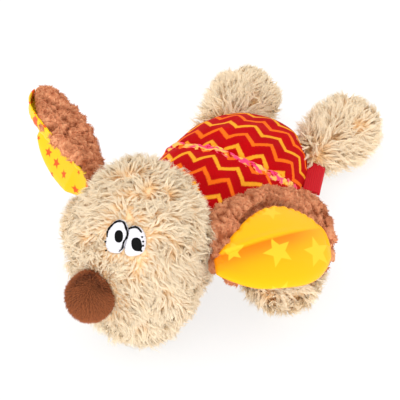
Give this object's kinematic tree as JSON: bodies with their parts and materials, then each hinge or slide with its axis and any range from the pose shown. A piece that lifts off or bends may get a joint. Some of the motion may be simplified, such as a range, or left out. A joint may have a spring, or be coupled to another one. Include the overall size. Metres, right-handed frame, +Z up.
{
  "type": "squeaky plush dog toy",
  "caption": "Stuffed plush dog lying on its belly, with a squeaker inside its body, a ball nose, stitched eyes, lined leaf ears and legs that turn on their seams.",
  "frame": {"origin": "on the floor, under the widest place of the body, in the belly's flat face", "axes": "+Z up, the nose points to -Y and the toy's left side is +X"},
  "size_m": [0.1702, 0.263, 0.1036],
  "materials": {
    "red_velour": "short velour with orange zigzag rows",
    "cream_plush": "long curly pile",
    "wadding": "loose polyester fibre",
    "clear_plastic": "translucent, moulded",
    "white_plastic": "moulded",
    "brown_plush": "short dense pile",
    "white_thread": "close machine stitches",
    "black_thread": "close machine stitches",
    "brown_teddy": "curled teddy pile in clumps",
    "yellow_satin": "smooth printed cloth with a soft gloss",
    "red_tape": "woven tape, bare"
  },
  "bodies": {
    "torso": {"back_panel": "red_velour", "belly_panel": "cream_plush", "back_wadding": "wadding", "belly_wadding": "wadding", "squeaker_base": "clear_plastic", "squeaker_bellows": "clear_plastic", "squeaker_reed_pipe": "white_plastic", "squeaker_reed": "white_plastic"},
    "squeaker_button": {"squeaker_cap": "clear_plastic"},
    "neck": {"neck_roll": "cream_plush"},
    "head": {"head_left_panel": "cream_plush", "head_right_panel": "cream_plush", "head_wadding": "wadding", "nose_cover": "brown_plush", "nose_wadding": "wadding", "left_eye_white": "white_thread", "left_eye_line": "black_thread", "left_eye_pupil": "black_thread", "right_eye_white": "white_thread", "right_eye_line": "black_thread", "right_eye_pupil": "black_thread"},
    "left_ear": {"left_ear_back": "brown_teddy", "left_ear_lining": "yellow_satin"},
    "right_ear": {"right_ear_back": "brown_teddy", "right_ear_lining": "yellow_satin"},
    "left_front_leg": {"left_front_leg_cover": "cream_plush", "left_front_leg_wadding": "wadding"},
    "right_front_leg": {"right_front_leg_cover": "cream_plush", "right_front_leg_wadding": "wadding"},
    "left_rear_leg": {"left_rear_leg_cover": "cream_plush", "left_rear_leg_wadding": "wadding"},
    "right_rear_leg": {"right_rear_leg_cover": "cream_plush", "right_rear_leg_wadding": "wadding"},
    "label": {"side_label": "red_tape"}
  },
  "joints": [
    {"name": "squeaker_press", "type": "slide", "parent": "torso", "child": "squeaker_button", "axis": [0, 0, -1], "range_m": [0, 0.006], "stiffness_N_per_m": 300, "deforming": ["squeaker_bellows"]},
    {"name": "neck_turn", "type": "hinge", "parent": "torso", "child": "neck", "pos_m": [0.003, -0.062, 0.034], "axis": [0, 0, 1], "range_deg": [-8, 8], "stiffness_Nm_per_rad": 0.2},
    {"name": "head_nod", "type": "hinge", "parent": "neck", "child": "head", "pos_m": [0.003, -0.062, 0.034], "axis": [-1, 0, 0], "range_deg": [0, 7], "stiffness_Nm_per_rad": 0.2},
    {"name": "left_ear_swing", "type": "hinge", "parent": "head", "child": "left_ear", "pos_m": [0.03599, -0.08537, 0.05528], "axis": [0.568, -0.8112, -0.1392], "range_deg": [0, 60], "stiffness_Nm_per_rad": 0.05},
    {"name": "right_ear_swing", "type": "hinge", "parent": "head", "child": "right_ear", "pos_m": [-0.02165, -0.09155, 0.07366], "axis": [0.0575, 0.4752, -0.878], "range_deg": [-45, 25], "stiffness_Nm_per_rad": 0.05},
    {"name": "left_front_leg_swing", "type": "hinge", "parent": "torso", "child": "left_front_leg", "pos_m": [0.03689, -0.03322, 0.02], "axis": [0, 0, 1], "range_deg": [-12, 15], "stiffness_Nm_per_rad": 0.05},
    {"name": "right_front_leg_swing", "type": "hinge", "parent": "torso", "child": "right_front_leg", "pos_m": [-0.03786, -0.0307, 0.02], "axis": [0, 0, 1], "range_deg": [-30, 5], "stiffness_Nm_per_rad": 0.05},
    {"name": "left_rear_leg_lift", "type": "hinge", "parent": "torso", "child": "left_rear_leg", "pos_m": [0.02958, 0.05572, 0.02], "axis": [0.9877, -0.1564, 0], "range_deg": [-25, 40], "stiffness_Nm_per_rad": 0.05},
    {"name": "right_rear_leg_lift", "type": "hinge", "parent": "torso", "child": "right_rear_leg", "pos_m": [-0.02958, 0.05572, 0.02], "axis": [0.9986, 0.0523, 0], "range_deg": [-25, 40], "stiffness_Nm_per_rad": 0.05},
    {"name": "label_flap", "type": "hinge", "parent": "torso", "child": "label", "pos_m": [0.037, 0.03661, 0.02], "axis": [0.2983, -0.9545, 0], "range_deg": [-30, 45], "stiffness_Nm_per_rad": 0.001}
  ]
}
